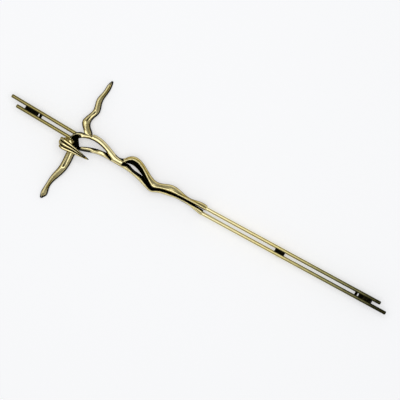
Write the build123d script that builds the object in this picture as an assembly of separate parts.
from build123d import *

import math
import os

# A long hat pin in antique brass. Two pairs of thin round rails carry an openwork figure with
# outstretched arms, which lies along the rails with its head towards -X and its feet towards +X.
# Behind it, a steel stem is hinged under the rails and closes in a rotating safety catch.
# The pin lies on its back: z = 0 is the surface under both hands and the hinge, and +Z is its front.
# Origin: the middle of the length and of the arm span, on that surface. Millimetres.

# Overall sizes
LENGTH = 180.0  # from the head end of the upper head rail to the foot end of the lower foot rail
ARM_SPAN = 57.2  # fingertip to fingertip
FIGURE_LENGTH = 67.5  # crown of the head to the toes
WAIST_X = -38.5  # the figure is drawn from its waist
WAIST_Y = 0.3

# Rails
RAIL_DIA = 1.55
RAIL_GAP = 1.1  # clear space between the two rails of a pair
STAGGER = 3.8  # the upper rail of each pair lies this much nearer the head end
HEAD_LEAN = -1.35  # degrees that the head pair leans off the long axis
FOOT_LEAN = 0.9
SPIGOT_DIA = 1.0  # the turned-down end that goes into the casting
SPIGOT_LENGTH = 1.6
SPIGOT_CLEARANCE = 0.02
SPIGOT_ROOT = 2.0  # the spigot starts this far back inside the rail
HEAD_COPE = 1.0  # a rail is cut to the casting's edge over this length
FOOT_COPE = 0.05
RAIL_END_ROUND = 0.45

# Spacers between the rails
SPACER_HEIGHT = 1.2
END_SETBACK = 7.4  # from the tip of the longer rail to the end spacer
END_SPACER = 6.2
STOP_GAP = 0.6  # slit between an end spacer and its stop
STOP_LENGTH = 1.15
MID_SPACER = 4.5

# Castings of the figure
BACK_Z = 3.35  # flat back of the castings
TONGUE = 1.9  # thickness of the torso under the head, and of the arms
BODY = 2.8  # thickness of the torso and the legs at their ridges
FLOOR = 1.1  # thickness left under the recess in the left leg
HEAD = 2.3  # thickness of the head above the torso
EDGE = 0.35  # chamfer along the front edges
TENON_DIA = 1.0
TENON_LENGTH = 1.1
TENON_CLEARANCE = 0.02
HOLE_ROOM = 0.1  # a blind hole is this much deeper than what goes into it
OVERCUT = 1.0  # a cutting shape runs this far past what it cuts

# The figure, drawn in millimetres from its waist and scaled to its length
DRAWN_LENGTH = 67.5
HIP = 2.5  # where the legs meet the torso
LEFT_TOES = 42.2
RIGHT_TOES = 41.5
SHOULDER = -13.9  # where the left arm passes the end of the upper strand
LEFT_ROOT = 3.6  # where each arm meets the torso
RIGHT_ROOT = -4.2
LEFT_TENON = -15.4
RIGHT_TENON = -18.4
LEFT_FINGERTIP = (-17.9, 28.3)
RIGHT_FINGERTIP = (-20.2, -28.9)
UPPER_HEAD_MEET = -20.0  # where each rail meets the edge of its casting
LOWER_HEAD_MEET = -21.7
HEAD_MIDDLE = (-22.0, -3.7)
HEAD_LENGTH = 6.6  # crown to chin
HEAD_WIDTH = 5.0
HEAD_TILT = 15.0  # degrees that the chin is lifted off the long axis

# Stem and its hinge
STEM_DIA = 0.9
STEM_Z = 1.8
HINGE_FROM_FEET = 36.0
HINGE_DROP = 0.65  # the rivet lies this far below the stem's axis
EYE_RADIUS = 0.95
EYE_WIDTH = 0.6
NECK = 1.7  # flattened length of the stem, from the rivet
RIVET_DIA = 0.7
RIVET_CLEARANCE = 0.04
RIVET_HEAD_DIA = 1.12
RIVET_HEAD = 0.15
EAR_THICKNESS = 0.35
EAR_CLEARANCE = 0.05
PLATE = 0.4  # thickness of the hinge plate and of the catch plate
TIP_PAST_CATCH = 3.0
TIP_TAPER = 2.8
TIP_DIA = 0.12

# Catch
CATCH_FROM_WAIST = 16.2  # from the waist to the middle of the catch
HOOK_LENGTH = 3.0
HOOK_WALL = 0.35
HOOK_OPENING = 120.0  # degrees left open below
CATCH_PLATE_LENGTH = 5.0
CATCH_PLATE_WIDTH = 2.8
COLLAR_BORE_CLEARANCE = 0.1
COLLAR_WALL = 0.35
COLLAR_CLEARANCE = 0.05
SLOT_CLEARANCE = 0.075  # each side of the stem, where it passes through the slot in the collar
RIM = 0.3
RIM_HEIGHT = 0.2
TAB_LENGTH = 0.85
TAB_THICKNESS = 0.3
TAB_WIDTH = 2.3
TAB_ANGLE = -135.0

RAIL_R = RAIL_DIA / 2
PITCH = RAIL_DIA + RAIL_GAP
RAIL_Z = BACK_Z + TONGUE / 2
HINGE_Z = STEM_Z - HINGE_DROP
SCALE = FIGURE_LENGTH / DRAWN_LENGTH
HEAD_PAIR_X = WAIST_X - 21.2 * SCALE  # where the middle line of each pair meets the figure
HEAD_PAIR_Y = WAIST_Y + 0.4 * SCALE
FOOT_PAIR_X = WAIST_X + 41.6 * SCALE
FOOT_PAIR_Y = WAIST_Y - 0.15 * SCALE
HINGE_X = FOOT_PAIR_X + HINGE_FROM_FEET
CATCH_X = WAIST_X + CATCH_FROM_WAIST * SCALE
COLLAR_BORE = STEM_DIA + 2 * COLLAR_BORE_CLEARANCE
SLOT = STEM_DIA + 2 * SLOT_CLEARANCE


def on_figure(points):
    """Points drawn from the waist, placed on the pin."""
    return [(WAIST_X + u * SCALE, WAIST_Y + v * SCALE) for u, v in points]


def edge_through(run):
    """Two points make a line, three an arc and more a smooth curve."""
    if len(run) == 2:
        return Line(*run)
    if len(run) == 3:
        return ThreePointArc(*run)
    return Spline(*run)


def face_from(runs):
    """A face inside the given runs of points, with straight lines between one run and the next."""
    edges = []
    for run, following in zip(runs, runs[1:] + runs[:1]):
        edges.append(edge_through(run))
        if math.dist(run[-1], following[0]) > 1e-6:
            edges.append(Line(run[-1], following[0]))
    return make_face(edges)


def casting(runs, thickness, base=BACK_Z):
    """A flat-backed casting with the given outline."""
    return Pos(0, 0, base) * extrude(face_from([on_figure(run) for run in runs]), thickness)


def sides(stations):
    """Both edges of a limb. A station is a place along it, its middle line there and its width."""
    near = [(along, middle - width / 2) for along, middle, width in stations]
    far = [(along, middle + width / 2) for along, middle, width in reversed(stations)]
    return near, far


def soften(solid, count):
    """Chamfer the longest edges of the front face."""
    front = solid.faces().sort_by(Axis.Z)[-1]
    return chamfer(front.edges().sort_by(Edge.length)[-count:], EDGE)


# ---- rails and their spacers -------------------------------------------------------------------

HEAD_PAIR = Pos(HEAD_PAIR_X, HEAD_PAIR_Y, RAIL_Z) * Rot(0, 0, HEAD_LEAN)
FOOT_PAIR = Pos(FOOT_PAIR_X, FOOT_PAIR_Y, RAIL_Z) * Rot(0, 0, FOOT_LEAN)


def along_head(x):
    """Distance along the head pair of a point at x."""
    return (x - HEAD_PAIR_X) / math.cos(math.radians(HEAD_LEAN))


def along_foot(x):
    """Distance along the foot pair of a point at x."""
    return (x - FOOT_PAIR_X) / math.cos(math.radians(FOOT_LEAN))


def rod(pair, side, start, end, diameter):
    """A round rod of a pair. side is 1 for the upper rail and -1 for the lower one."""
    length = end - start
    bar = Rot(0, 90, 0) * Cylinder(diameter / 2, length)
    return pair * Pos(start + length / 2, side * PITCH / 2, 0) * bar


def round_end(rail, pair, side, tip, toward):
    """Round off a rail's free end."""
    cap = rod(pair, side, min(tip, tip - toward), max(tip, tip - toward), RAIL_DIA)
    bullet = fillet(cap.edges().sort_by(Axis.X)[-1 if toward > 0 else 0], RAIL_END_ROUND)
    return rail - (cap - bullet)


def spacer(pair, start, length):
    """A block between the two rails, with hollow sides that fit them."""
    block = pair * Pos(start + length / 2, 0, 0) * Box(length, PITCH, SPACER_HEIGHT)
    for side in (1, -1):
        block -= rod(pair, side, start - OVERCUT, start + length + OVERCUT, RAIL_DIA)
    return block


def rails_into(castings, pair, along, ends, meets, cope):
    """Both rails of a pair, each coped to its casting and let in with a spigot."""
    rails = []
    for side, end, meet, body in zip((1, -1), ends, meets, castings):
        inward = 1 if end < meet else -1
        tip = along(end)
        seat = along(meet)
        buried = seat + inward * cope
        deep = seat + inward * SPIGOT_LENGTH
        rail = rod(pair, side, min(tip, buried), max(tip, buried), RAIL_DIA)
        rail = round_end(rail, pair, side, tip, -inward) - body
        root = seat - inward * SPIGOT_ROOT
        spigot = rod(pair, side, min(root, deep), max(root, deep), SPIGOT_DIA)
        rails.append(rail + spigot)
    return rails


def socket(pair, side, along, meet, inward):
    """The hole in a casting that takes a rail's spigot."""
    seat = along(meet)
    deep = seat + inward * (SPIGOT_LENGTH + HOLE_ROOM)
    outer = seat - inward * OVERCUT
    return rod(pair, side, min(outer, deep), max(outer, deep), SPIGOT_DIA + 2 * SPIGOT_CLEARANCE)


# ---- the figure --------------------------------------------------------------------------------

def head_block():
    """Head and streaming hair in one casting, on the front of the torso's tongue."""
    x, y = on_figure([HEAD_MIDDLE])[0]
    egg = Ellipse(HEAD_LENGTH * SCALE / 2, HEAD_WIDTH * SCALE / 2)
    skull = Pos(x, y, BACK_Z + TONGUE) * Rot(0, 0, HEAD_TILT) * extrude(egg, HEAD)
    under, over = sides([(-21.5, -4.6, 2.8), (-18.5, -4.9, 3.3), (-14.5, -5.2, 2.2), (-10.2, -5.3, 0.4)])
    return skull + casting([under, over], HEAD, BACK_Z + TONGUE)


def torso_block():
    """The chest as two curved strands round an open window, with a tongue under the head."""
    lower = [(HIP, -1.2), (-3.0, -1.15), (-9.0, -1.6), (-14.5, -3.4), (-20.4, -4.0)]
    end = [(-20.4, -4.0), (-21.5, 0.5), (-17.0, 3.55)]
    step = [(SHOULDER, 3.55), (SHOULDER, 5.0)]
    upper = [(SHOULDER, 5.0), (-7.0, 4.3), (-2.5, 2.6), (0.3, 1.9), (HIP, 2.9)]
    block = soften(casting([lower, end, step, upper], BODY), 2)
    window_top = [(-18.5, 0.5), (-14.5, 2.4), (-10.0, 2.5), (-5.0, 1.0)]
    window_low = [(-5.0, 1.0), (-10.5, 0.2), (-16.5, -2.4)]
    block -= casting([window_top, window_low], BODY + OVERCUT)
    neck = [(-21.0, -1.2), (-20.5, 0.7), (-18.6, 1.6)]
    throat = [(-17.4, 0.9), (-16.4, -2.6)]
    under_hair = [(-17.2, -6.0), (-22.5, -6.0)]
    return block - casting([neck, throat, under_hair], BODY, BACK_Z + TONGUE)


def left_leg_solid():
    """Hip, thigh, shin and foot along the upper side, with a flat front."""
    near, far = sides([
        (HIP, 1.6, 2.6), (6.5, 3.7, 3.7), (12.5, 1.7, 3.6), (16.8, -0.4, 3.3), (18.5, -0.8, 3.3),
        (20.5, -0.3, 2.8), (25.0, 1.1, 3.3), (34.5, 0.95, 1.5), (39.0, 1.4, 2.3), (LEFT_TOES, 1.3, 2.1),
    ])
    return casting([near, far], BODY)


def left_leg_block():
    """The left leg with its front edges softened, hollowed beside the ridge of its thigh."""
    block = soften(left_leg_solid(), 2)
    ridge = [(3.1, 0.9), (6.0, 3.5), (12.5, 1.2), (17.0, -1.9)]
    floor = [(17.0, -2.6), (3.1, -0.6)]
    return block - casting([ridge, floor], BODY, BACK_Z + FLOOR)


def right_leg_block():
    """Hip, thigh, shin and foot along the lower side, fitted against the left leg."""
    near, far = sides([
        (HIP, -0.4, 1.6), (4.6, 0.05, 2.6), (7.5, -0.5, 2.1), (12.5, -1.4, 2.6), (16.8, -2.9, 2.2),
        (18.3, -3.2, 2.0), (20.5, -2.4, 1.9), (25.0, -1.3, 1.6), (34.0, -0.45, 1.4), (38.0, -0.8, 2.0),
        (RIGHT_TOES, -1.2, 2.4),
    ])
    return casting([near, far], BODY) - left_leg_solid()


def arm(root, fingertip, stations):
    """An arm that slopes back from the shoulder until its fingertips touch the surface below."""
    side = math.copysign(1, fingertip[1])
    root_y = WAIST_Y + root * SCALE
    reach = ARM_SPAN / 2 - side * root_y
    top = BACK_Z + TONGUE
    slope = math.asin(top / math.hypot(reach, TONGUE)) - math.atan(TONGUE / reach)
    stretch = reach / (math.cos(slope) * abs(fingertip[1] - root) * SCALE)
    near, far = sides(stations)
    inner = [(u, v) for v, u in near]
    outer = [(u, v) for v, u in far]
    hand = [inner[-1], fingertip, outer[0]]
    drawn = [[(u, root + (v - root) * stretch) for u, v in run] for run in (inner, hand, outer)]
    flat = soften(casting(drawn, TONGUE), 2)
    sloped = flat.rotate(Axis((0, root_y, top), (1, 0, 0)), -side * math.degrees(slope))
    keep = Pos(WAIST_X, root_y + side * ARM_SPAN / 2, 0) * Box(LENGTH, ARM_SPAN, 4 * top)
    return sloped & keep


def left_arm_block():
    """Upper arm, forearm and open hand on the upper side."""
    stations = [
        (2.6, -15.7, 2.9), (5.0, -16.5, 4.4), (7.5, -18.7, 3.9), (10.0, -18.8, 3.0), (14.0, -17.6, 2.9),
        (18.5, -18.6, 2.7), (23.0, -18.1, 2.1), (26.3, -18.0, 1.9), (27.8, -17.9, 1.0),
    ]
    return arm(LEFT_ROOT, LEFT_FINGERTIP, stations)


def right_arm_block():
    """Upper arm, forearm and closed hand on the lower side."""
    stations = [
        (-3.0, -18.4, 3.1), (-7.0, -18.3, 3.6), (-14.5, -18.4, 3.3), (-18.0, -19.4, 2.9),
        (-24.0, -20.2, 2.2), (-26.5, -20.0, 2.8), (-28.2, -20.2, 1.5),
    ]
    return arm(RIGHT_ROOT, RIGHT_FINGERTIP, stations)


def tenon(root, u, clearance=0.0, past=0.0):
    """The round tenon on an arm's root, or with clearance the hole for it."""
    side = math.copysign(1, root)
    length = TENON_LENGTH + past
    x = WAIST_X + u * SCALE
    y = WAIST_Y + root * SCALE - side * length / 2
    return Pos(x, y, BACK_Z + TONGUE / 2) * Rot(90, 0, 0) * Cylinder(TENON_DIA / 2 + clearance, length)


# ---- stem, hinge and catch ---------------------------------------------------------------------

def lower_rail_y(x):
    """Where the middle of the lower foot rail lies at x."""
    return FOOT_PAIR_Y + (x - FOOT_PAIR_X) * math.tan(math.radians(FOOT_LEAN)) - PITCH / 2


STEM_Y = lower_rail_y(HINGE_X)
COLLAR_R = COLLAR_BORE / 2 + COLLAR_WALL
HOOK_BORE_R = COLLAR_R + COLLAR_CLEARANCE
COLLAR_LENGTH = HOOK_LENGTH + 2 * (RIM + COLLAR_CLEARANCE)


def disc(radius, width, x, z):
    """A disc on an axis across the pin."""
    return Pos(x, STEM_Y, z) * Rot(90, 0, 0) * Cylinder(radius, width)


def stem_body():
    """Steel stem: a flattened eye for the rivet, a round shank and a ground point."""
    tip_x = CATCH_X - COLLAR_LENGTH / 2 - TIP_PAST_CATCH
    taper_x = tip_x + TIP_TAPER
    neck_x = HINGE_X - NECK
    shank = Rot(0, 90, 0) * Cylinder(STEM_DIA / 2, neck_x - taper_x)
    shank = Pos((taper_x + neck_x) / 2, STEM_Y, STEM_Z) * shank
    point = Rot(0, 90, 0) * Cone(TIP_DIA / 2, STEM_DIA / 2, TIP_TAPER)
    point = Pos((tip_x + taper_x) / 2, STEM_Y, STEM_Z) * point
    neck = Pos(HINGE_X - NECK / 2, STEM_Y, STEM_Z) * Box(NECK, EYE_WIDTH, STEM_DIA)
    eye = disc(EYE_RADIUS, EYE_WIDTH, HINGE_X, HINGE_Z)
    bore = disc(RIVET_DIA / 2 + RIVET_CLEARANCE, STEM_DIA * 2, HINGE_X, HINGE_Z)
    return (shank + point + neck + eye) - bore


def hinge_plate():
    """Plate across the backs of both rails, with two ears that hold the rivet."""
    plate_top = RAIL_Z - RAIL_R
    pair_y = lower_rail_y(HINGE_X) + PITCH / 2
    plate = Pos(HINGE_X, pair_y, plate_top - PLATE / 2) * Box(MID_SPACER, PITCH + RAIL_DIA, PLATE)
    for side in (1, -1):
        y = STEM_Y + side * (EYE_WIDTH / 2 + EAR_CLEARANCE + EAR_THICKNESS / 2)
        height = plate_top - PLATE - HINGE_Z
        ear = Pos(HINGE_X, y, HINGE_Z + height / 2) * Box(2 * HINGE_Z, EAR_THICKNESS, height)
        ear += Pos(HINGE_X, y, HINGE_Z) * Rot(90, 0, 0) * Cylinder(HINGE_Z, EAR_THICKNESS)
        plate += ear
    return plate - disc(RIVET_DIA / 2, 4 * STEM_DIA, HINGE_X, HINGE_Z)


def hinge_rivet():
    """Rivet through both ears, with a low head at each end."""
    across = EYE_WIDTH + 2 * (EAR_CLEARANCE + EAR_THICKNESS)
    rivet = disc(RIVET_DIA / 2, across, HINGE_X, HINGE_Z)
    for side in (1, -1):
        head = disc(RIVET_HEAD_DIA / 2, RIVET_HEAD, HINGE_X, HINGE_Z)
        rivet += Pos(0, side * (across + RIVET_HEAD) / 2, 0) * head
    return rivet


def tube_x(outer, inner, length, x):
    """A short tube round the stem's axis."""
    ring = Cylinder(outer, length) - Cylinder(inner, length)
    return Pos(x, STEM_Y, STEM_Z) * Rot(0, 90, 0) * ring


def catch_hook():
    """Hook that holds the collar, on a plate soldered to the backs of the legs."""
    outer = HOOK_BORE_R + HOOK_WALL
    hook = tube_x(outer, HOOK_BORE_R, HOOK_LENGTH, CATCH_X)
    half = math.radians(HOOK_OPENING / 2)
    reach = 2 * outer
    wedge = Polyline((0, 0), (reach * math.sin(half), -reach * math.cos(half)),
                     (0, -2 * reach), (-reach * math.sin(half), -reach * math.cos(half)), (0, 0))
    opening = extrude(Plane.YZ * make_face(wedge), HOOK_LENGTH, both=True)
    hook -= Pos(CATCH_X, STEM_Y, STEM_Z) * opening
    plate = Pos(CATCH_X, STEM_Y, BACK_Z - PLATE / 2) * Box(CATCH_PLATE_LENGTH, CATCH_PLATE_WIDTH, PLATE)
    foot_z = STEM_Z + HOOK_BORE_R
    foot = Pos(CATCH_X, STEM_Y, (foot_z + BACK_Z) / 2) * Box(HOOK_LENGTH, COLLAR_BORE, BACK_Z - foot_z)
    bore = Pos(CATCH_X, STEM_Y, STEM_Z) * Rot(0, 90, 0) * Cylinder(HOOK_BORE_R, HOOK_LENGTH)
    return hook + plate + (foot - bore)


def catch_collar():
    """Split collar that turns in the hook, with a rim at each end and a thumb tab."""
    collar = tube_x(COLLAR_R, COLLAR_BORE / 2, COLLAR_LENGTH, CATCH_X)
    for side in (1, -1):
        x = CATCH_X + side * (COLLAR_LENGTH - RIM) / 2
        collar += tube_x(COLLAR_R + RIM_HEIGHT, COLLAR_BORE / 2, RIM, x)
    middle = COLLAR_R - COLLAR_WALL / 2 + TAB_LENGTH / 2
    tab = Pos(0, middle, 0) * Box(TAB_WIDTH, TAB_LENGTH, TAB_THICKNESS)
    tab = Pos(CATCH_X, STEM_Y, STEM_Z) * Rot(TAB_ANGLE, 0, 0) * tab
    slot = Pos(CATCH_X, STEM_Y, STEM_Z - COLLAR_R) * Box(2 * COLLAR_LENGTH, SLOT, 2 * COLLAR_R)
    return collar + tab - slot


# ---- assembly ----------------------------------------------------------------------------------

HEAD_MEETS = (WAIST_X + UPPER_HEAD_MEET * SCALE, WAIST_X + LOWER_HEAD_MEET * SCALE)
FOOT_MEETS = (WAIST_X + LEFT_TOES * SCALE, WAIST_X + RIGHT_TOES * SCALE)
HEAD_ENDS = (-LENGTH / 2, -LENGTH / 2 + STAGGER)
FOOT_ENDS = (LENGTH / 2 - STAGGER, LENGTH / 2)

head = head_block()
torso = torso_block() - head
left_arm = left_arm_block() - torso
right_arm = right_arm_block() - torso
left_leg = left_leg_block()
right_leg = right_leg_block()
head_rails = rails_into((torso, torso), HEAD_PAIR, along_head, HEAD_ENDS, HEAD_MEETS, HEAD_COPE)
foot_rails = rails_into((left_leg, right_leg), FOOT_PAIR, along_foot, FOOT_ENDS, FOOT_MEETS, FOOT_COPE)
for number, side in enumerate((1, -1)):
    torso -= socket(HEAD_PAIR, side, along_head, HEAD_MEETS[number], 1)
left_leg -= socket(FOOT_PAIR, 1, along_foot, FOOT_MEETS[0], -1)
right_leg -= socket(FOOT_PAIR, -1, along_foot, FOOT_MEETS[1], -1)
left_arm += tenon(LEFT_ROOT, LEFT_TENON)
right_arm += tenon(RIGHT_ROOT, RIGHT_TENON)
torso -= tenon(LEFT_ROOT, LEFT_TENON, TENON_CLEARANCE, HOLE_ROOM)
torso -= tenon(RIGHT_ROOT, RIGHT_TENON, TENON_CLEARANCE, HOLE_ROOM)

head_spacer = along_head(-LENGTH / 2) + END_SETBACK
foot_spacer = along_foot(LENGTH / 2) - END_SETBACK - END_SPACER

PARTS = {
    "upper_head_rail": head_rails[0],
    "lower_head_rail": head_rails[1],
    "upper_foot_rail": foot_rails[0],
    "lower_foot_rail": foot_rails[1],
    "head_end_spacer": spacer(HEAD_PAIR, head_spacer, END_SPACER),
    "head_end_stop": spacer(HEAD_PAIR, head_spacer + END_SPACER + STOP_GAP, STOP_LENGTH),
    "foot_end_spacer": spacer(FOOT_PAIR, foot_spacer, END_SPACER),
    "foot_end_stop": spacer(FOOT_PAIR, foot_spacer - STOP_GAP - STOP_LENGTH, STOP_LENGTH),
    "middle_spacer": spacer(FOOT_PAIR, along_foot(HINGE_X) - MID_SPACER / 2, MID_SPACER),
    "head_and_hair": head,
    "torso": torso,
    "left_arm": left_arm,
    "right_arm": right_arm,
    "left_leg": left_leg,
    "right_leg": right_leg,
    "hinge_plate": hinge_plate(),
    "hinge_rivet": hinge_rivet(),
    "pin_stem": stem_body(),
    "catch_hook": catch_hook(),
    "catch_collar": catch_collar(),
}

os.makedirs("parts", exist_ok=True)
for name, shape in PARTS.items():
    export_step(shape, f"parts/{name}.step")
